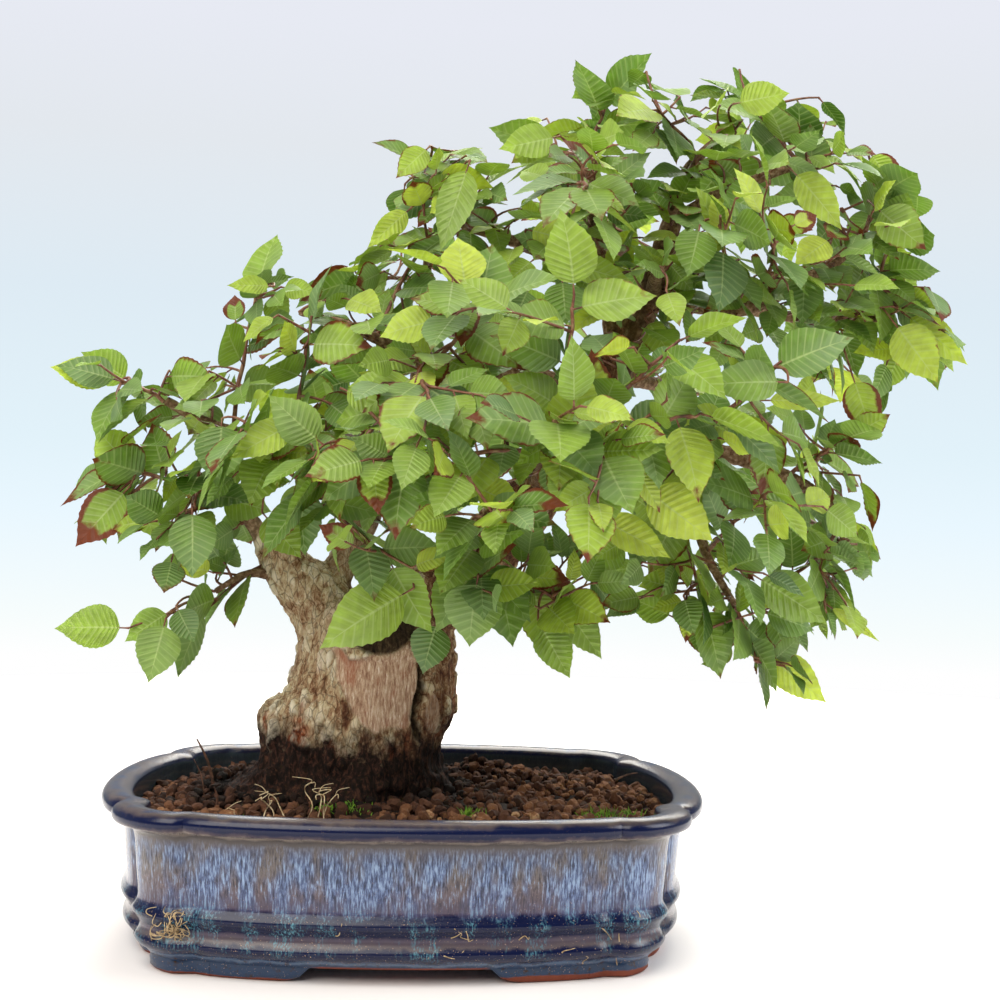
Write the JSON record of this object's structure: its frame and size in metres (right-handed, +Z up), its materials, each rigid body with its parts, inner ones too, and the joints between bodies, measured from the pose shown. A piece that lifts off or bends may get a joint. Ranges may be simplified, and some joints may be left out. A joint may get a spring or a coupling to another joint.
{
  "type": "bonsai tree",
  "caption": "Korean hornbeam bonsai with a squat old trunk and leafy sprays, in a glazed oval pot with notched corners.",
  "frame": {"origin": "bottom centre of the whole part's bounding box, level with the pot's feet", "axes": "+Z up, -Y towards the front of the pot, +X to the right seen from the front"},
  "size_m": [0.5196, 0.3884, 0.5178],
  "materials": {
    "glaze": "glossy blue running glaze over brown clay",
    "soil": "rough baked clay granules",
    "bark": "flaky grey-brown bark",
    "leaf": "thin green leaf, slightly glossy above",
    "mesh_plastic": "black plastic mesh"
  },
  "bodies": {
    "root": {"drain_mesh_left": "mesh_plastic", "drain_mesh_right": "mesh_plastic", "leaf_spray_01": "leaf", "leaf_spray_02": "leaf", "leaf_spray_03": "leaf", "leaf_spray_04": "leaf", "leaf_spray_05": "leaf", "leaf_spray_06": "leaf", "leaf_spray_07": "leaf", "leaf_spray_08": "leaf", "leaf_spray_09": "leaf", "leaf_spray_10": "leaf", "leaf_spray_11": "leaf", "leaf_spray_12": "leaf", "leaf_spray_13": "leaf", "leaf_spray_14": "leaf", "leaf_spray_15": "leaf", "leaf_spray_16": "leaf", "leaf_spray_17": "leaf", "leaf_spray_18": "leaf", "leaf_spray_19": "leaf", "leaf_spray_20": "leaf", "leaf_spray_21": "leaf", "leaf_spray_22": "leaf", "leaf_spray_23": "leaf", "leaf_spray_24": "leaf", "leaf_spray_25": "leaf", "leaf_spray_26": "leaf", "leaf_spray_27": "leaf", "leaf_spray_28": "leaf", "leaf_spray_29": "leaf", "leaf_spray_30": "leaf", "leaf_spray_31": "leaf", "leaf_spray_32": "leaf", "leaf_spray_33": "leaf", "leaf_spray_34": "leaf", "leaf_spray_35": "leaf", "leaf_spray_36": "leaf", "leaf_spray_37": "leaf", "leaf_spray_38": "leaf", "leaf_spray_39": "leaf", "leaf_spray_40": "leaf", "leaf_spray_41": "leaf", "leaf_spray_42": "leaf", "leaf_spray_43": "leaf", "leaf_spray_44": "leaf", "leaf_spray_45": "leaf", "leaf_spray_46": "leaf", "leaf_spray_47": "leaf", "leaf_spray_48": "leaf", "leaf_spray_49": "leaf", "leaf_spray_50": "leaf", "leaf_spray_51": "leaf", "pot": "glaze", "soil": "soil", "trunk": "bark"}
  },
  "joints": []
}
